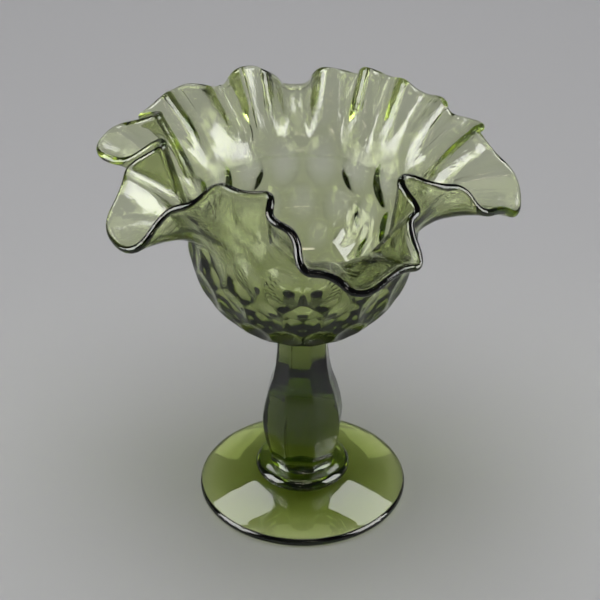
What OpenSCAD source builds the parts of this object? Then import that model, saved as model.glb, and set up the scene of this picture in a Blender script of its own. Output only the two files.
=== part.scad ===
// Footed glass comport with a thumbprint bowl and a double-crimped ruffled rim.
// Origin: centre of the foot's flat underside. +Z points up, -Y is the front.

/* [Foot] */
// Diameter of the round foot
foot_d = 80; // [70:1:90]
// Thickness of the foot at its rounded edge
foot_edge = 3.6; // [3:0.2:5]
// Height of the flat seat at the middle of the domed foot
foot_seat_z = 8.4; // [7:0.2:10]
// Diameter of the flat seat under the collar
foot_seat_d = 30; // [26:1:32]

/* [Collar] */
// Widest diameter of the round collar between foot and stem
collar_d = 36.2; // [34:0.2:40]
// Height of the collar
collar_h = 5.8; // [5:0.2:8]

/* [Stem] */
// Height of the eight-sided baluster stem
stem_h = 59.1; // [50:0.1:70]
// Corner radius of the stem at its swollen waist
stem_waist_r = 16.2; // [15:0.1:17]
// Corner radius of the stem at its neck
stem_neck_r = 10; // [9.4:0.1:10.2]
// Turn of the stem's flat sides from the front
stem_turn = 16.5; // [0:0.5:45]

/* [Wafer] */
// Diameter of the wafer that joins stem and bowl
wafer_d = 20.4; // [20:0.1:21]
// Thickness of the wafer
wafer_h = 3.7; // [3:0.1:5]

/* [Bowl] */
// Outer radius of the round bowl
bowl_r = 42.9; // [41:0.1:45]
// Thickness of the bowl's wall
bowl_wall = 4; // [3.8:0.1:5]
// Height of the straight wall above the bowl's widest circle
bowl_straight = 7.3; // [7:0.1:12]
// Thickness of the glass at the middle of the bowl's bottom
bowl_floor = 6; // [5:0.5:8]

/* [Thumbprints] */
// Thumbprints in each row round the bowl
print_count = 18; // [12:1:18]
// Radius of the ball that presses each thumbprint
print_ball_r = 24; // [22:1:30]

/* [Crimped rim] */
// Reach of the ruffles beyond the bowl's wall, as a part of the full spread
rim_spread = 1; // [0.9:0.02:1.06]
// Rise of the ruffles above the bowl, as a part of the full height
rim_lift = 1; // [0.9:0.02:1.1]
// Thickness of the glass at the edge
edge_wall = 3; // [2.6:0.1:3.2]

/* [Hidden] */
$fn = 96;

olive_glass = [0.42, 0.5, 0.16, 0.75];
dark_glass = [0.2, 0.28, 0.06, 0.9];
rim_glass = [0.62, 0.7, 0.4, 0.6];

// Heights of the joints between the pieces.
stem_z = foot_seat_z + collar_h;
wafer_z = stem_z + stem_h;
bowl_z = wafer_z + wafer_h;

// The foot's domed top is one ball surface through the seat's rim and the top of the rounded edge.
seat_rim = [foot_seat_d / 2, foot_seat_z];
edge_top = [(foot_d - foot_edge) / 2, foot_edge];
dome_z = (edge_top * edge_top - seat_rim * seat_rim) / (2 * (edge_top[1] - seat_rim[1]));
dome_r = norm(seat_rim - [0, dome_z]);

// Centre of the bowl's ball, whose flat bottom is as wide as the wafer.
ball_z = bowl_z + sqrt(pow(bowl_r, 2) - pow(wafer_d / 2, 2));
rim_z = ball_z + bowl_straight;

// The bowl's inside is a smaller ball, lifted to leave the thicker glass at the bottom.
inner_r = bowl_r - bowl_wall;
inner_ball_z = bowl_z + bowl_floor + inner_r;

// Stem outline: height as a part of the stem, and how far the corner radius
// has grown from the neck (0) to the waist (1).
stem_outline = [[0, 0.32], [0.06, 0.48], [0.16, 0.78], [0.26, 0.95], [0.35, 1], [0.45, 0.87],
    [0.56, 0.62], [0.66, 0.3], [0.76, 0.12], [0.88, 0.02], [1, 0]];

// Thumbprint rows: angle below the widest circle, and radius of the print.
print_rows = [[0, 6.4], [17, 6.8], [34, 6.4], [50, 5]];

// The rim's edge, fold by fold, as [azimuth from the front, reach from the axis, rise above the bowl].
// Lobes droop outwards and crests are pinched up, and small crimps break both.
front_lobe = [[-1, 69, 21], [8, 70, 21], [15, 76, 13], [28, 71, 19], [35, 73, 17]];
front_right_crest = [[36, 61, 29], [43, 60, 30], [43, 49, 36], [49, 48, 37], [56, 57, 32]];
right_lobe = [[66, 62, 28], [64, 70, 20], [75, 74, 15], [79, 79, 9], [94, 77, 15], [92, 68, 25]];
right_crest = [[104, 64, 27], [107, 70, 25], [118, 66, 22], [116, 59, 27], [120, 60, 31]];
back_right_lobe = [[133, 61, 25], [138, 56, 32], [149, 65, 24], [151, 55, 32], [156, 55, 32], [160, 65, 22]];
back_crest = [[165, 55, 29], [174, 56, 29]];
back_lobe = [[178, 69, 13], [187, 68, 14], [190, 62, 22]];
back_left_crest = [[195, 54, 29], [199, 56, 31], [207, 55, 32]];
back_left_lobe = [[205, 68, 18], [209, 69, 17], [215, 63, 23], [222, 65, 26], [227, 66, 25]];
left_crimps = [[237, 60, 31], [240, 67, 23], [246, 66, 25], [249, 56, 31], [257, 54, 34], [255, 63, 29]];
left_lobe = [[251, 73, 23], [262, 77, 20], [269, 64, 21]];
left_crest = [[271, 51, 33], [283, 50, 36], [279, 63, 27]];
front_left_lobe = [[287, 66, 24], [292, 76, 13], [309, 76, 13], [310, 62, 28]];
front_left_crest = [[319, 58, 32], [321, 47, 37], [335, 48, 36], [347, 46, 38], [347, 55, 33], [358, 59, 31]];
folds = concat(front_lobe, front_right_crest, right_lobe, right_crest, back_right_lobe, back_crest, back_lobe,
    back_left_crest, back_left_lobe, left_crimps, left_lobe, left_crest, front_left_lobe, front_left_crest);
fold_count = len(folds);

// A fold by number, counted on past a full turn either way.
function fold(i) = folds[(i + fold_count) % fold_count] + [360 * floor(i / fold_count), 0, 0];

// Where a fold starts at the foot of the wall: the mean azimuth of the folds around it.
near_weights = [1, 2, 3, 4, 3, 2, 1];
near_half = 3;
function weighted_azimuth(i, k = 0) =
    k == len(near_weights) ? 0 : near_weights[k] * fold(i + k - near_half)[0] + weighted_azimuth(i, k + 1);
function root_azimuth(i) = weighted_azimuth(i) / pow(near_half + 1, 2);
function whole_fold(i) = [each fold(i), root_azimuth(i)];

// Each fold is rounded by a curve that starts and ends a share of the way to its neighbours.
round_share = 0.46;
arc_samples = 2;
function round_fold(before, here, after, t) =
    pow(1 - t, 2) * mix(here, before, round_share) + 2 * t * (1 - t) * here
    + t * t * mix(here, after, round_share);

edge_columns = [for (i = [0 : fold_count - 1], s = [0 : arc_samples])
    round_fold(whole_fold(i - 1), whole_fold(i), whole_fold(i + 1), s / arc_samples)];
column_count = len(edge_columns);

// The wall rises straight to here before it leans out.
bend_rise = 12;
wall_steps = 7;

function mix(a, b, t) = a + (b - a) * t;
function unit(v) = v / norm(v);

// A point of the wall's middle surface: i counts round the rim, t climbs it.
wall_r = bowl_r - bowl_wall / 2;
function wall_point(i, t) =
    let (
        column = edge_columns[(i + column_count) % column_count],
        azimuth = mix(column[3], column[0], t * t),
        r = wall_r + t * t * (column[1] - wall_r) * rim_spread,
        z = 2 * t * (1 - t) * bend_rise + t * t * column[2] * rim_lift
    )
    [r * sin(azimuth), -r * cos(azimuth), rim_z + z];

difference_step = 0.02;
function wall_climb(i, t) = unit(wall_point(i, t + difference_step) - wall_point(i, t - difference_step));
function wall_normal(i, t) = unit(cross(wall_point(i + 1, t) - wall_point(i - 1, t), wall_climb(i, t)));
function wall_side(i, t, side) =
    wall_point(i, t) + wall_normal(i, t) * side * mix(bowl_wall, edge_wall, t) / 2;

// Section of the rim at one column: up the outside, over the edge, down the inside.
function rim_section(i) = [
    each [for (k = [0 : wall_steps]) wall_side(i, k / wall_steps, 1)],
    wall_point(i, 1) + wall_climb(i, 1) * edge_wall / 2,
    each [for (k = [wall_steps : -1 : 0]) wall_side(i, k / wall_steps, -1)]
];

// Section of a disc with a half-round edge, for rotate_extrude.
module disc_section(d, h) {
    translate([(d - h) / 2, h / 2]) circle(d = h);
    square([(d - h) / 2, h]);
}

module foot() {
    color(olive_glass)
    rotate_extrude() {
        disc_section(foot_d, foot_edge);
        intersection() {
            square([edge_top[0], foot_seat_z]);
            translate([0, dome_z]) circle(r = dome_r);
        }
    }
}

module foot_collar() {
    color(olive_glass)
    translate([0, 0, foot_seat_z])
    rotate_extrude() disc_section(collar_d, collar_h);
}

module stem() {
    color(dark_glass)
    translate([0, 0, stem_z])
    rotate(stem_turn)
    rotate_extrude($fn = 8)
    polygon([
        [0, 0],
        each [for (p = stem_outline) [mix(stem_neck_r, stem_waist_r, p[1]), p[0] * stem_h]],
        [0, stem_h]
    ]);
}

module wafer() {
    color(olive_glass)
    translate([0, 0, wafer_z])
    rotate_extrude() disc_section(wafer_d, wafer_h);
}

// Balls that press one row of thumbprints into the bowl.
module thumbprint_row(below, print_r, turn) {
    // The ball stands where it meets the bowl's surface in a circle of the print's radius.
    reach = sqrt(pow(bowl_r, 2) - pow(print_r, 2)) + sqrt(pow(print_ball_r, 2) - pow(print_r, 2));
    for (i = [0 : print_count - 1])
        rotate((i + turn) * 360 / print_count)
        rotate([0, below, 0])
        translate([reach, 0, 0]) sphere(r = print_ball_r);
}

// Section of a ball with a straight wall rising from its widest circle.
module bowl_section(r) {
    circle(r = r);
    square([r, bowl_straight]);
}

module bowl() {
    color(olive_glass)
    translate([0, 0, ball_z])
    difference() {
        rotate_extrude()
        difference() {
            intersection() {
                bowl_section(bowl_r);
                translate([0, bowl_z - ball_z]) square([bowl_r, rim_z - bowl_z]);
            }
            translate([0, inner_ball_z - ball_z]) bowl_section(inner_r);
        }
        for (k = [0 : len(print_rows) - 1])
            thumbprint_row(print_rows[k][0], print_rows[k][1], k % 2 / 2);
    }
}

module crimped_rim() {
    ring = 2 * wall_steps + 3;
    points = [for (i = [0 : column_count - 1]) each rim_section(i)];
    quads = [for (i = [0 : column_count - 1], j = [0 : ring - 1])
        let (a = i * ring, b = (i + 1) % column_count * ring, k = (j + 1) % ring)
        [a + j, a + k, b + k, b + j]];
    color(rim_glass)
    polyhedron(points, [for (q = quads) each [[q[0], q[1], q[2]], [q[0], q[2], q[3]]]]);
}

foot();
foot_collar();
stem();
wafer();
bowl();
crimped_rim();
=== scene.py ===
from math import cos, radians, sin, sqrt

import bpy
import numpy as np
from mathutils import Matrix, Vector


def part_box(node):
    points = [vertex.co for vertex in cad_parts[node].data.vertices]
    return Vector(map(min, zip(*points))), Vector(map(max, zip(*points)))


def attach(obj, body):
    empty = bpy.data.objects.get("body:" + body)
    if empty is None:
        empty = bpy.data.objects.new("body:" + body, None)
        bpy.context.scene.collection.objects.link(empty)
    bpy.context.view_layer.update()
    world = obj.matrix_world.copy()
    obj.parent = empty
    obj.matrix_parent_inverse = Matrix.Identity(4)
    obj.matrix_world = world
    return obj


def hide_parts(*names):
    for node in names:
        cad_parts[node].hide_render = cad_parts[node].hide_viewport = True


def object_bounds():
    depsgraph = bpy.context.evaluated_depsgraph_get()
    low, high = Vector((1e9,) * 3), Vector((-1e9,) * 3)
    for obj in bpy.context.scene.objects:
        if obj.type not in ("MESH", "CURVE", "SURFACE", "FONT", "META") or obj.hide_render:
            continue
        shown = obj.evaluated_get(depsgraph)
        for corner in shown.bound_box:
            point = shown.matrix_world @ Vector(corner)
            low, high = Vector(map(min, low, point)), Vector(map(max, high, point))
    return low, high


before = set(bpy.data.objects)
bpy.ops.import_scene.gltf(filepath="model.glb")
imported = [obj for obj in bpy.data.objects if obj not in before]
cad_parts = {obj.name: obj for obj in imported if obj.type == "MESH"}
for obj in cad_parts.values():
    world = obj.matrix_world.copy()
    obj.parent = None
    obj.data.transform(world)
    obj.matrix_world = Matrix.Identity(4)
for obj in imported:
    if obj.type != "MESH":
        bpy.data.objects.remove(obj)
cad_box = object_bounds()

# ---------------------------------------------------------------- camera
# The dish is seen from in front and well above its rim, from about a metre away, through a long lens.
VIEW_ELEVATION = radians(34.9)
VIEW_DISTANCE = 1.0476
VIEW_HEIGHT = 0.532
VIEW_SIDE = -0.001
LENS_MM = 167.3

dish_height = cad_box[1].z
look_at = Vector((VIEW_SIDE, 0, VIEW_HEIGHT * dish_height))
back_from = Vector((0, -cos(VIEW_ELEVATION), sin(VIEW_ELEVATION)))
camera = bpy.data.objects.new("camera", bpy.data.cameras.new("camera"))
camera.data.lens = LENS_MM
camera.data.sensor_width = 36
camera.location = look_at + back_from * VIEW_DISTANCE
camera.rotation_euler = back_from.to_track_quat("Z", "Y").to_euler()
bpy.context.scene.collection.objects.link(camera)
bpy.context.scene.camera = camera

# ---------------------------------------------------------------- foot
# A round pressed foot with a flat underside, a low domed top and a fire-polished half-round edge.
# Like the whole dish it is clear olive-green glass, fused to the collar above it.
MM = 0.001
JOINT_GAP = 0.01 * MM
COLUMNS = 192
# A flat end of a piece is this many bands of faces between its rim and the axis.
CAP_ROWS = 4
GLASS_IOR = 1.51
OLIVE = (0.585, 0.655, 0.16)
OLIVE_DENSITY = 195.0
STREAKS_PER_METRE = 60.0
# Wrinkles per unit of the azimuth's cosine, per unit of its sine, and per metre up the wall.
WRINKLE_SCALE = (26.0, 26.0, 160.0)


def glass_material(name, ripple, ripple_size, wear, chill=0.0):
    """Clear olive glass: a smooth transmitting surface over a volume that drinks blue first, then red.
    Ripple is the height of the pressed surface's slow waves, wear the extra roughness in patches, and chill
    the height of a hand-worked wall's fine wrinkles. Joint faces match the glass behind, so they vanish."""
    material = bpy.data.materials.new(name)
    material.use_nodes = True
    nodes, links = material.node_tree.nodes, material.node_tree.links
    surface = nodes["Principled BSDF"]
    surface.inputs["Transmission Weight"].default_value = 1.0
    coords = nodes.new("ShaderNodeTexCoord")

    waves = nodes.new("ShaderNodeTexNoise")
    waves.inputs["Scale"].default_value = 1 / ripple_size
    waves.inputs["Detail"].default_value = 1.0
    links.new(coords.outputs["Object"], waves.inputs["Vector"])
    bump = nodes.new("ShaderNodeBump")
    bump.inputs["Strength"].default_value = 1.0
    bump.inputs["Distance"].default_value = ripple
    links.new(waves.outputs["Fac"], bump.inputs["Height"])
    links.new(bump.outputs["Normal"], surface.inputs["Normal"])

    streaks = nodes.new("ShaderNodeTexNoise")
    streaks.inputs["Scale"].default_value = STREAKS_PER_METRE
    streaks.inputs["Detail"].default_value = 4.0
    links.new(coords.outputs["Object"], streaks.inputs["Vector"])
    if chill:
        wall_place = nodes.new("ShaderNodeAttribute")
        wall_place.attribute_name = "wall_place"
        stretch = nodes.new("ShaderNodeMapping")
        stretch.inputs["Scale"].default_value = WRINKLE_SCALE
        links.new(wall_place.outputs["Vector"], stretch.inputs["Vector"])
        marks = nodes.new("ShaderNodeTexNoise")
        marks.inputs["Scale"].default_value = 1.0
        marks.inputs["Detail"].default_value = 3.0
        marks.inputs["Distortion"].default_value = 1.2
        links.new(stretch.outputs["Vector"], marks.inputs["Vector"])
        wrinkles = nodes.new("ShaderNodeBump")
        wrinkles.inputs["Strength"].default_value = 1.0
        wrinkles.inputs["Distance"].default_value = chill
        links.new(marks.outputs["Fac"], wrinkles.inputs["Height"])
        links.new(bump.outputs["Normal"], wrinkles.inputs["Normal"])
        links.new(wrinkles.outputs["Normal"], surface.inputs["Normal"])
    dull = nodes.new("ShaderNodeMapRange")
    dull.inputs["From Min"].default_value = 0.5
    dull.inputs["From Max"].default_value = 0.8
    dull.inputs["To Min"].default_value = 0.0
    dull.inputs["To Max"].default_value = wear
    links.new(streaks.outputs["Fac"], dull.inputs["Value"])
    links.new(dull.outputs["Result"], surface.inputs["Roughness"])

    tint = nodes.new("ShaderNodeMix")
    tint.data_type = "RGBA"
    tint.inputs["A"].default_value = (1.0, 1.0, 1.0, 1.0)
    tint.inputs["B"].default_value = (0.94, 0.97, 0.90, 1.0)
    links.new(waves.outputs["Fac"], tint.inputs["Factor"])
    links.new(tint.outputs["Result"], surface.inputs["Base Color"])

    fused = nodes.new("ShaderNodeAttribute")
    fused.attribute_name = "fused"
    index = nodes.new("ShaderNodeMapRange")
    index.inputs["To Min"].default_value = GLASS_IOR
    index.inputs["To Max"].default_value = 1.0
    links.new(fused.outputs["Fac"], index.inputs["Value"])
    links.new(index.outputs["Result"], surface.inputs["IOR"])

    depth = nodes.new("ShaderNodeVolumeAbsorption")
    depth.inputs["Color"].default_value = (*OLIVE, 1.0)
    depth.inputs["Density"].default_value = OLIVE_DENSITY
    links.new(depth.outputs["Volume"], nodes["Material Output"].inputs["Volume"])
    return material


def turned(radius, height, azimuth):
    """Points of a turned surface: every section point (radius, height), carried round the axis.
    Azimuth runs from the front (-Y) towards +X. Radius may already differ from azimuth to azimuth."""
    radius, height, azimuth = np.broadcast_arrays(radius, height, azimuth)
    return np.stack([radius * np.sin(azimuth), -radius * np.cos(azimuth), height], axis=-1)


def glass_piece(name, grid, material, fused_rows, sharp_rows, node, capped=True):
    """A closed mesh from a grid of points, rows by columns, whose columns wrap round the axis.
    Capped, its first and last rows are single points on the axis. Otherwise the rows wrap round too.
    fused_rows are spans of rows whose faces are joints; sharp_rows are rows with a crisp edge."""
    rows, columns = grid.shape[:2]
    number = np.arange(rows * columns).reshape(rows, columns)
    points = grid.reshape(-1, 3)
    if capped:
        points = np.concatenate([grid[0, :1], grid[1:-1].reshape(-1, 3), grid[-1, :1]])
        number = np.clip(number - columns + 1, 0, len(points) - 1)
        number[0] = 0
        number[-1] = len(points) - 1
    right = np.roll(number, -1, axis=1)
    quads = np.stack([number, right, np.roll(right, -1, axis=0), np.roll(number, -1, axis=0)], axis=-1)
    if capped:
        quads = quads[:-1]
    bands = len(quads)
    faces = quads.reshape(-1, 4).tolist()
    if capped:
        faces[:columns] = quads[0][:, [0, 2, 3]].tolist()
        faces[-columns:] = quads[-1][:, [0, 1, 2]].tolist()
    mesh = bpy.data.meshes.new(name)
    mesh.from_pydata(points.tolist(), [], faces)
    mesh.update()

    joint = np.zeros((bands, columns), np.float32)
    for first, last in fused_rows:
        joint[first:last] = 1.0
    mesh.attributes.new("fused", "FLOAT", "FACE").data.foreach_set("value", joint.ravel())
    mesh.polygons.foreach_set("use_smooth", np.ones(len(faces), bool))

    row_of = np.repeat(np.arange(rows), columns)
    if capped:
        row_of = np.concatenate([[0], np.repeat(np.arange(1, rows - 1), columns), [rows - 1]])
    ends = np.zeros(len(mesh.edges) * 2, int)
    mesh.edges.foreach_get("vertices", ends)
    edge_rows = row_of[ends.reshape(-1, 2)]
    crisp = (edge_rows[:, 0] == edge_rows[:, 1]) & np.isin(edge_rows[:, 0], list(sharp_rows))
    mesh.attributes.new("sharp_edge", "BOOLEAN", "EDGE").data.foreach_set("value", crisp)

    sheet = mesh.attributes.new("wall_place", "FLOAT_VECTOR", "POINT")
    sheet.data.foreach_set("vector", place_on_wall(points).ravel().astype(np.float32))
    mesh.materials.append(material)
    piece = bpy.data.objects.new(name, mesh)
    bpy.context.scene.collection.objects.link(piece)
    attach(piece, "root")
    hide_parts(node)
    return piece


def place_on_wall(points):
    """Where each point lies on the wall, for marks that follow it: the cosine and sine of its azimuth, and
    its height plus its reach in metres, which grows steadily from a flared wall's foot to its edge."""
    azimuth = np.arctan2(points[:, 0], -points[:, 1])
    climbed = points[:, 2] + np.hypot(points[:, 0], points[:, 1])
    return np.stack([np.cos(azimuth), np.sin(azimuth), climbed], axis=-1)


def arc(centre, radius, start, end, count):
    """Section points along a circular arc, from the start angle to the end angle in degrees."""
    turn = np.radians(np.linspace(start, end, count))
    return np.stack([centre[0] + radius * np.cos(turn), centre[1] + radius * np.sin(turn)], axis=-1)


def run(start, end, count):
    """Section points evenly spaced on a straight line, without its last point."""
    return np.linspace(start, end, count, endpoint=False)


round_the_axis = np.radians(np.arange(COLUMNS) * 360 / COLUMNS)
foot_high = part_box("foot")[1]
foot_r = foot_high.x
foot_seat_z = foot_high.z
FOOT_EDGE = 3.6 * MM
SEAT_R = 15 * MM

dome_start = np.array([SEAT_R, foot_seat_z - JOINT_GAP])
dome_end = np.array([foot_r - FOOT_EDGE / 2, FOOT_EDGE])
dome_centre_z = (dome_end @ dome_end - dome_start @ dome_start) / (2 * (dome_end[1] - dome_start[1]))
dome_r = float(np.hypot(dome_start[0], dome_start[1] - dome_centre_z))
edge_angle = np.degrees(np.arctan2(dome_end[1] - dome_centre_z, dome_end[0]))
seat_angle = np.degrees(np.arctan2(dome_start[1] - dome_centre_z, dome_start[0]))
foot_section = np.concatenate([
    run((0, 0), (foot_r - FOOT_EDGE / 2, 0), 8),
    arc((foot_r - FOOT_EDGE / 2, FOOT_EDGE / 2), FOOT_EDGE / 2, -90, edge_angle, 16),
    arc((0, dome_centre_z), dome_r, edge_angle, seat_angle, 25)[1:],
    run((SEAT_R, foot_seat_z - JOINT_GAP), (0, foot_seat_z - JOINT_GAP), CAP_ROWS)[1:],
    [(0, foot_seat_z - JOINT_GAP)],
])
foot_rows = len(foot_section)
foot_seat_row = foot_rows - CAP_ROWS - 1
foot_grid = turned(foot_section[:, :1], foot_section[:, 1:], round_the_axis[None])
foot_glass = glass_material("foot_glass", 0.03 * MM, 9 * MM, 0.08)
glass_piece("glass_foot", foot_grid, foot_glass, [(foot_seat_row, foot_rows)], [foot_seat_row], "foot")

# ---------------------------------------------------------------- collar
# A fat ring of glass between foot and stem. It bulges below its middle and rolls in to the stem's base.
collar_low, collar_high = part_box("foot_collar")
collar_r = collar_high.x
STEM_BASE_R = 12.6 * MM
COLLAR_WAIST = 0.46

collar_bottom = collar_low.z + JOINT_GAP
collar_top = collar_high.z - JOINT_GAP
collar_waist_z = collar_bottom + COLLAR_WAIST * (collar_top - collar_bottom)
swell = np.radians(np.linspace(-90, 90, 33))
below = swell < 0
collar_side = np.stack([
    np.where(below, SEAT_R + (collar_r - SEAT_R) * np.cos(swell),
             STEM_BASE_R + (collar_r - STEM_BASE_R) * np.cos(swell)),
    np.where(below, collar_waist_z + (collar_waist_z - collar_bottom) * np.sin(swell),
             collar_waist_z + (collar_top - collar_waist_z) * np.sin(swell)),
], axis=-1)
collar_section = np.concatenate([
    run((0, collar_bottom), (SEAT_R, collar_bottom), CAP_ROWS),
    collar_side,
    run((STEM_BASE_R, collar_top), (0, collar_top), CAP_ROWS)[1:],
    [(0, collar_top)],
])
collar_rows = len(collar_section)
collar_top_row = collar_rows - CAP_ROWS - 1
collar_grid = turned(collar_section[:, :1], collar_section[:, 1:], round_the_axis[None])
collar_glass = glass_material("collar_glass", 0.02 * MM, 8 * MM, 0.04)
glass_piece("glass_collar", collar_grid, collar_glass, [(0, CAP_ROWS), (collar_top_row, collar_rows)],
            [CAP_ROWS, collar_top_row], "foot_collar")

# ---------------------------------------------------------------- stem
# A solid eight-sided baluster, pressed in one with its round base. Its flat sides die into the base in
# arches, and its corners are softened by fire polishing.
stem_low, stem_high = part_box("stem")
stem_bottom = stem_low.z + JOINT_GAP
stem_top = stem_high.z - JOINT_GAP
stem_h = stem_top - stem_bottom
STEM_TURN = radians(16.5)
SIDES = 8
CORNER_POWER = 90
NECK_R = 10 * MM
WAIST_R = 16.2 * MM
NECK_TOP_R = 9.4 * MM
BASE_DRAW = 5.2 * MM
BASE_RISE_MM = 3.2
NECK_STEEPNESS = 2.5
MEETING_POWER = 60.0
BLEND_SAMPLES = 37
# The outline: height as a share of the stem, and how far the corners have grown from neck (0) to waist (1).
OUTLINE = np.array([(0, 0.30), (0.06, 0.48), (0.16, 0.78), (0.26, 0.95), (0.35, 1), (0.45, 0.87),
                    (0.56, 0.62), (0.66, 0.3), (0.76, 0.12), (0.88, 0.02), (1, 0)])


def smooth_through(points, where):
    """A smooth curve through given points: straight spans, averaged over a short window."""
    fine = np.linspace(-0.1, 1.1, 481)
    value = np.interp(fine, points[:, 0], points[:, 1])
    window = np.hanning(BLEND_SAMPLES)
    return np.interp(where, fine, np.convolve(value, window / window.sum(), mode="same"))


def eight_sides(azimuth, turn):
    """Distance to a rounded regular eight-sided outline of corner radius 1, in the direction of each azimuth:
    the inverse of a power mean of the cosines to the eight sides. A higher power has sharper corners."""
    flats = turn + (np.arange(SIDES) + 0.5) * 2 * np.pi / SIDES
    cosines = np.clip(np.cos(azimuth[..., None] - flats), 0, None)
    nearest = (cosines ** CORNER_POWER).sum(axis=-1) ** (1 / CORNER_POWER)
    return np.cos(np.pi / SIDES) / nearest


up_stem = np.linspace(0, 1, 121)[:, None]
corner_r = NECK_R + (WAIST_R - NECK_R) * smooth_through(OUTLINE, up_stem)
flat_r = corner_r * eight_sides(round_the_axis, STEM_TURN)[None]
height_mm = up_stem * stem_h / MM
# The round base shrinks away upwards, and the larger of base and sides counts. At the top a steep cone draws
# the sides in to the neck, and the smaller of cone and sides counts. Power sums soften both meetings.
base_r = STEM_BASE_R - BASE_DRAW * (1 - np.exp(-height_mm / BASE_RISE_MM))
stem_r = (flat_r ** MEETING_POWER + base_r ** MEETING_POWER) ** (1 / MEETING_POWER)
neck_cone = NECK_TOP_R + NECK_STEEPNESS * (1 - up_stem) * stem_h
stem_r = (stem_r ** -MEETING_POWER + neck_cone ** -MEETING_POWER) ** (-1 / MEETING_POWER)
stem_r[0] = STEM_BASE_R
stem_r[-1] = NECK_TOP_R
stem_side = turned(stem_r, stem_bottom + up_stem * stem_h, round_the_axis[None])
stem_grid = np.concatenate([
    turned(np.linspace(0, STEM_BASE_R, CAP_ROWS, endpoint=False)[:, None], stem_bottom, round_the_axis[None]),
    stem_side,
    turned(np.linspace(NECK_TOP_R, 0, CAP_ROWS + 1)[1:, None], stem_top, round_the_axis[None]),
])
stem_rows = len(stem_grid)
stem_top_row = stem_rows - CAP_ROWS - 1
stem_glass = glass_material("stem_glass", 0.02 * MM, 12 * MM, 0.03)
glass_piece("glass_stem", stem_grid, stem_glass, [(0, CAP_ROWS), (stem_top_row, stem_rows)],
            [CAP_ROWS, stem_top_row], "stem")

# ---------------------------------------------------------------- wafer
# A small gather of glass, squeezed to a fat disc, that fuses the finished stem to the bowl.
wafer_low, wafer_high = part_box("wafer")
wafer_bottom = wafer_low.z + JOINT_GAP
wafer_top = wafer_high.z - JOINT_GAP
wafer_r = wafer_high.x
BOSS_SHARE = 0.985
BOSS_R = wafer_r * BOSS_SHARE
wafer_swell = np.radians(np.linspace(-90, 90, 17))
wafer_middle = (wafer_bottom + wafer_top) / 2
wafer_side = np.stack([
    np.where(wafer_swell < 0, NECK_TOP_R + (wafer_r - NECK_TOP_R) * np.cos(wafer_swell),
             BOSS_R + (wafer_r - BOSS_R) * np.cos(wafer_swell)),
    wafer_middle + (wafer_top - wafer_bottom) / 2 * np.sin(wafer_swell),
], axis=-1)
wafer_section = np.concatenate([
    run((0, wafer_bottom), (NECK_TOP_R, wafer_bottom), CAP_ROWS),
    wafer_side,
    run((BOSS_R, wafer_top), (0, wafer_top), CAP_ROWS)[1:],
    [(0, wafer_top)],
])
wafer_rows = len(wafer_section)
wafer_top_row = wafer_rows - CAP_ROWS - 1
wafer_grid = turned(wafer_section[:, :1], wafer_section[:, 1:], round_the_axis[None])
wafer_glass = glass_material("wafer_glass", 0.02 * MM, 6 * MM, 0.03)
glass_piece("glass_wafer", wafer_grid, wafer_glass, [(0, CAP_ROWS), (wafer_top_row, wafer_rows)],
            [CAP_ROWS, wafer_top_row], "wafer")

# ---------------------------------------------------------------- bowl
# A round pressed bowl. The mould leaves staggered rows of thumbprints outside, with crisp ridges between
# them, and the plunger leaves the inside smooth. It thickens towards the wafer that carries it.
bowl_low, bowl_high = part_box("bowl")
bowl_r = bowl_high.x
bowl_bottom = bowl_low.z + JOINT_GAP
bowl_top = bowl_high.z - JOINT_GAP
WALL = 4 * MM
TOP_LEAN = 1.0 * MM
BOTTOM_WALL = 6 * MM
PRINTS = 18
PRINT_DEPTH = 2.0 * MM
PRINT_WIDTH = 0.94
RIDGE_SOFTNESS = 14.0
FADE_SLOPE = 1.6
FADE_START = 0.3
# Rows of prints down the wall: how far each row's middle lies below the widest circle, and its half height.
PRINT_ROWS = [(-3.5, 11.0), (13.5, 9.0), (27.0, 7.6), (38.5, 6.0)]
BOWL_COLUMNS = 432
bowl_azimuth = np.radians(np.arange(BOWL_COLUMNS) * 360 / BOWL_COLUMNS)

ball_z = bowl_bottom + sqrt(bowl_r ** 2 - BOSS_R ** 2)
boss_angle = np.degrees(np.arcsin(BOSS_R / bowl_r)) - 90
outer_arc = arc((0, ball_z), bowl_r, boss_angle, 0, 110)


def leaning(section):
    """The section with its top leant out, by the square of the height above the widest circle."""
    share = np.clip((section[:, 1] - ball_z) / (bowl_top - ball_z), 0, 1)
    return section + np.stack([TOP_LEAN * share ** 2, np.zeros(len(share))], axis=-1)


upright = np.linspace((bowl_r, ball_z), (bowl_r, bowl_top), 17)[1:]
outer_wall = leaning(np.concatenate([outer_arc, upright]))
along = np.concatenate([[0], np.cumsum(np.hypot(*np.diff(outer_wall, axis=0).T))])
below_middle = (along[len(outer_arc) - 1] - along) / MM


def thumbprints(below, azimuth):
    """Depth of the thumbprints, from 0 to 1, at each distance below the widest circle and each azimuth.
    Every print is 1 minus the squares of its shares of the way across and up. The deepest print counts,
    and a softened floor at 0 rounds the ridges between them, as fire polishing does."""
    depth = np.full(np.broadcast_shapes(below.shape, azimuth.shape), -9.0)
    for row, (middle, half_height) in enumerate(PRINT_ROWS):
        across = ((azimuth * PRINTS / (2 * np.pi) + row / 2) % 1 - 0.5) * 2 / PRINT_WIDTH
        depth = np.maximum(depth, 1 - across ** 2 - ((below - middle) / half_height) ** 2)
    return np.logaddexp(0, RIDGE_SOFTNESS * depth) / RIDGE_SOFTNESS


ring_r = outer_wall[:, :1]
print_depth = thumbprints(below_middle[:, None], bowl_azimuth[None])
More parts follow.
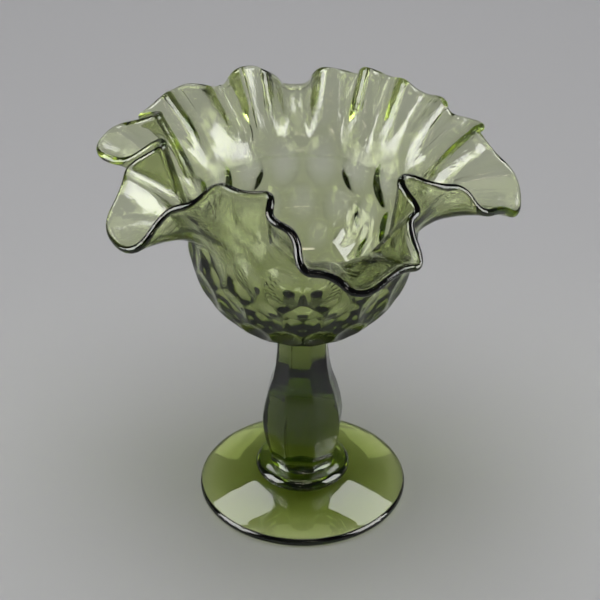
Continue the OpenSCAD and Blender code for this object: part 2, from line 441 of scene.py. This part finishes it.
# Prints fade out on the small rings near the wafer.
print_depth = PRINT_DEPTH * print_depth * np.clip(ring_r / bowl_r * FADE_SLOPE - FADE_START, 0, 1)
outward = np.stack([outer_wall[:, 0], np.minimum(outer_wall[:, 1] - ball_z, 0)], axis=-1) / bowl_r
outer_r = ring_r - print_depth * outward[:, :1]
outer_z = outer_wall[:, 1:] - print_depth * outward[:, 1:]

# The inside is a smaller ball, lifted to leave thicker glass at the bottom, with the same lean above.
inner_r = bowl_r - WALL
inner_z = bowl_bottom + BOTTOM_WALL + inner_r
inner_ball = arc((0, inner_z), inner_r, -90, 0, 60)
inner_upright = np.linspace((inner_r, inner_z), (inner_r, bowl_top), 9)[1:]
inner_wall = leaning(np.concatenate([inner_ball, inner_upright]))[::-1]
bowl_grid = np.concatenate([
    turned(np.linspace(0, BOSS_R, CAP_ROWS, endpoint=False)[:, None], bowl_bottom, bowl_azimuth[None]),
    turned(outer_r, outer_z, bowl_azimuth[None]),
    turned(inner_wall[:, :1], inner_wall[:, 1:], bowl_azimuth[None]),
])
rim_joint_row = CAP_ROWS + len(outer_wall) - 1
bowl_glass = glass_material("bowl_glass", 0.03 * MM, 7 * MM, 0.04)
glass_piece("glass_bowl", bowl_grid, bowl_glass, [(0, CAP_ROWS), (rim_joint_row, rim_joint_row + 1)],
            [CAP_ROWS, rim_joint_row, rim_joint_row + 1], "bowl")

# ---------------------------------------------------------------- crimped rim
# The hot upper wall, flared and waved into lobes over a crimping form, then pinched finely by hand.
# The edge is fire polished to a round bead.
rim_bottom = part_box("crimped_rim")[0].z + JOINT_GAP
EDGE_WALL = 2.5 * MM
BEAD_R = 1.5 * MM
BEAD_REACH = 0.035
BEND_RISE = 12 * MM
# The wall's normal is level at the joint, where bowl and rim meet flush, and free above this
# share of the climb.
LEVEL_JOINT = 0.15
MARK_DEPTH = 0.12 * MM
OUTER_PHASE = 0.7
INNER_PHASE = 2.9
ROUND_SHARE = 0.46
ARC_SAMPLES = 8
STRETCH_SAMPLES = 3
WALL_ROWS = 44
BEAD_ROWS = 9

# The rim's edge, fold by fold: azimuth from the front in degrees, reach from the axis and rise above the
# bowl in millimetres. Lobes droop outwards, crests are pinched up, and small crimps break both.
FOLDS = {
    "front lobe": [(-1, 69, 21), (8, 70, 21), (15, 76, 13), (28, 71, 19), (35, 73, 17)],
    "front right crest": [(36, 61, 29), (43, 60, 30), (43, 49, 36), (49, 48, 37), (56, 57, 32)],
    "right lobe": [(66, 62, 28), (64, 70, 20), (75, 74, 15), (79, 79, 9), (94, 77, 15), (92, 68, 25)],
    "right crest": [(104, 64, 27), (107, 70, 25), (118, 66, 22), (116, 59, 27), (120, 60, 31)],
    "back right lobe": [(133, 61, 25), (138, 56, 32), (149, 65, 24), (151, 55, 32), (156, 55, 32),
                        (160, 65, 22)],
    "back crest": [(165, 55, 29), (174, 56, 29)],
    "back lobe": [(178, 69, 13), (187, 68, 14), (190, 62, 22)],
    "back left crest": [(195, 54, 29), (199, 56, 31), (207, 55, 32)],
    "back left lobe": [(205, 68, 18), (209, 69, 17), (215, 63, 23), (222, 65, 26), (227, 66, 25)],
    "left crimps": [(237, 60, 31), (240, 67, 23), (246, 66, 25), (249, 56, 31), (257, 54, 34),
                    (255, 63, 29)],
    "left lobe": [(251, 73, 23), (262, 77, 20), (269, 64, 21)],
    "left crest": [(271, 51, 33), (283, 50, 36), (279, 63, 27)],
    "front left lobe": [(287, 66, 24), (292, 76, 13), (309, 76, 13), (310, 62, 28)],
    "front left crest": [(319, 58, 32), (321, 47, 37), (335, 48, 36), (347, 46, 38), (347, 55, 33),
                         (358, 59, 31)],
}


def folds_with_roots():
    """Every fold with a fourth value, its root: the azimuth where it starts at the foot of the wall.
    The root is the weighted mean azimuth of the folds around it, so roots follow each other evenly."""
    folds = np.array([fold for group in FOLDS.values() for fold in group], float)
    count = len(folds)
    near = np.arange(-3, 4)
    place = np.arange(count)[:, None] + near
    azimuth = folds[place % count, 0] + 360 * (place // count)
    weight = 4 - abs(near)
    return np.column_stack([folds, azimuth @ weight / weight.sum()])


def rounded_edge(folds):
    """The closed edge through the folds: a curve rounds each fold, from a share of the way back to a share
    of the way on, in shares of (1 - t) squared, 2 t (1 - t) and t squared. Straights join the curves."""
    turn = np.array([360.0, 0, 0, 360.0])
    before = np.concatenate([folds[-1:] - turn, folds[:-1]])[:, None]
    after = np.concatenate([folds[1:], folds[:1] + turn])[:, None]
    here = folds[:, None]
    start = here + ROUND_SHARE * (before - here)
    end = here + ROUND_SHARE * (after - here)
    t = np.linspace(0, 1, ARC_SAMPLES)[None, :, None]
    curve = (1 - t) ** 2 * start + 2 * t * (1 - t) * here + t ** 2 * end
    s = (np.arange(STRETCH_SAMPLES) + 1)[None, :, None] / (STRETCH_SAMPLES + 1)
    straight = end + s * (after + ROUND_SHARE * (here - after) - end)
    return np.concatenate([curve, straight], axis=1).reshape(-1, 4)


edge = rounded_edge(folds_with_roots())
edge_azimuth, root_azimuth = np.radians(edge[:, 0])[None], np.radians(edge[:, 3])[None]
edge_r, edge_rise = edge[:, 1][None] * MM, edge[:, 2][None] * MM
climb = np.linspace(0, 1, WALL_ROWS)[:, None]
wall_r = bowl_r + TOP_LEAN - WALL / 2
foot_lean = 2 * TOP_LEAN / (bowl_top - ball_z) * BEND_RISE


def rim_wall(climb):
    """The middle of the wall, which leaves the bowl with the bowl's own lean and bends over to the edge: a
    curve from the bowl's top, led by a point BEND_RISE above along that lean, to the edge, in shares of
    (1 - t) squared, 2 t (1 - t) and t squared. Its turn to the fold's azimuth grows as t squared."""
    azimuth = root_azimuth + climb ** 2 * (edge_azimuth - root_azimuth)
    radius = wall_r + 2 * climb * (1 - climb) * foot_lean + climb ** 2 * (edge_r - wall_r)
    rise = 2 * climb * (1 - climb) * BEND_RISE + climb ** 2 * edge_rise
    return turned(radius, rim_bottom + rise, azimuth)


SMALL_STEP = 0.001
middle_wall = rim_wall(climb)
up_wall = rim_wall(climb + SMALL_STEP) - rim_wall(climb - SMALL_STEP)
up_wall /= np.linalg.norm(up_wall, axis=-1, keepdims=True)
along_wall = np.roll(middle_wall, -1, axis=1) - np.roll(middle_wall, 1, axis=1)
wall_normal = np.cross(along_wall, up_wall)
wall_normal[..., 2] *= np.clip(climb / LEVEL_JOINT, 0, 1)
wall_normal /= np.linalg.norm(wall_normal, axis=-1, keepdims=True)
beading = np.exp(-((1 - climb) / BEAD_REACH) ** 2)
half_wall = (WALL + (EDGE_WALL - WALL) * climb) / 2
half_wall = (half_wall + (BEAD_R - half_wall) * beading)[..., None]


def hand_marks(azimuth, climb, phase):
    """Slow waves that the crimping tools leave in the soft wall, in metres: a sum of three sine waves of
    different pitch round and up the wall. They fade out towards the bowl and at the beaded edge."""
    broad = np.sin(17 * azimuth + 3 * climb + phase)
    fine = 0.8 * np.sin(41 * azimuth - 9 * climb + 2 * phase)
    steep = 0.6 * np.sin(29 * azimuth + 21 * climb + 3 * phase)
    return MARK_DEPTH * (broad + fine + steep) * np.sin(np.pi * climb ** 1.2) ** 2


# The tops of the bowl's upper thumbprints run on up the outside.
above_joint = (middle_wall[..., 2] - rim_bottom) / MM
print_tops = PRINT_DEPTH * thumbprints(below_middle[-1] - above_joint, root_azimuth)
outer_marks = hand_marks(root_azimuth, climb, OUTER_PHASE) - print_tops
outside = middle_wall + wall_normal * (half_wall + outer_marks[..., None])
inside = middle_wall - wall_normal * (half_wall + hand_marks(root_azimuth, climb, INNER_PHASE)[..., None])
bead_turn = np.radians(np.linspace(90, -90, BEAD_ROWS + 2)[1:-1])[:, None, None]
bead = middle_wall[-1] + BEAD_R * (wall_normal[-1] * np.sin(bead_turn) + up_wall[-1] * np.cos(bead_turn))
rim_grid = np.concatenate([outside, bead, inside[::-1]])
rim_rows = len(rim_grid)
rim_glass = glass_material("rim_glass", 0.03 * MM, 8 * MM, 0.04, chill=0.15 * MM)
glass_piece("glass_crimped_rim", rim_grid, rim_glass, [(rim_rows - 1, rim_rows)], [0, rim_rows - 1],
            "crimped_rim", capped=False)

# ---------------------------------------------------------------- studio
# A plain pale table under a top light that only lights the table, in a dim room. Two pairs of softboxes and
# two warm strips stand round it, so the glass mirrors clean white shapes.
floor_mesh = bpy.data.meshes.new("floor")
FLOOR_REACH = 6.0
FLOOR_DROP = 0.1 * MM
floor_corners = FLOOR_REACH * np.array([(-1, -1, 0), (1, -1, 0), (1, 1, 0), (-1, 1, 0)]) - (0, 0, FLOOR_DROP)
floor_mesh.from_pydata(floor_corners.tolist(), [], [(0, 1, 2, 3)])
floor = bpy.data.objects.new("floor", floor_mesh)
floor_paint = bpy.data.materials.new("pale_floor")
floor_paint.use_nodes = True
floor_paint.node_tree.nodes["Principled BSDF"].inputs["Base Color"].default_value = (0.5, 0.5, 0.51, 1)
floor_paint.node_tree.nodes["Principled BSDF"].inputs["Roughness"].default_value = 0.9
floor_mesh.materials.append(floor_paint)
bpy.context.scene.collection.objects.link(floor)

LIGHT_DISTANCE = 1.3
AIM_HEIGHT = 0.1
WARM = (1, 0.88, 0.78)


def softbox(name, azimuth, elevation, width, height, watts, tint=(1, 1, 1)):
    """A rectangular softbox at an azimuth from the front and an elevation, facing the dish.
    It is flagged off the table, so that it only shows in the glass."""
    turn, tilt = radians(azimuth), radians(elevation)
    away = Vector((sin(turn) * cos(tilt), -cos(turn) * cos(tilt), sin(tilt)))
    light = bpy.data.lights.new(name, "AREA")
    light.shape = "RECTANGLE"
    light.size, light.size_y = width, height
    light.energy = watts
    light.color = tint
    lamp = bpy.data.objects.new(name, light)
    lamp.location = Vector((0, 0, AIM_HEIGHT)) + away * LIGHT_DISTANCE
    lamp.rotation_euler = away.to_track_quat("Z", "Y").to_euler()
    lamp.visible_camera = False
    lamp.visible_diffuse = False
    bpy.context.scene.collection.objects.link(lamp)
    return lamp


softbox("softbox_left", -76, 23, 0.95, 1.2, 34)
softbox("softbox_right", 76, 23, 0.95, 1.2, 34)
softbox("softbox_back_left", -150, 50, 0.45, 0.4, 3)
softbox("softbox_back_right", 150, 50, 0.45, 0.4, 3)
softbox("strip_low", 4, 18, 0.5, 0.05, 0.7, WARM)
softbox("strip_high", -4, 62, 0.5, 0.05, 0.7, WARM)
# The top light is the other way round: it lights the table and doesn't mirror in the glass.
top_light = softbox("top_light", 0, 90, 1.2, 1.2, 16)
top_light.visible_diffuse = True
top_light.visible_glossy = False

room = bpy.data.worlds.new("dim_room")
room.use_nodes = True
room.node_tree.nodes["Background"].inputs["Color"].default_value = (0.05, 0.05, 0.055, 1)
bpy.context.scene.world = room
bpy.context.scene.cycles.max_bounces = 24
bpy.context.scene.cycles.transmission_bounces = 24
bpy.context.scene.view_settings.view_transform = "Standard"
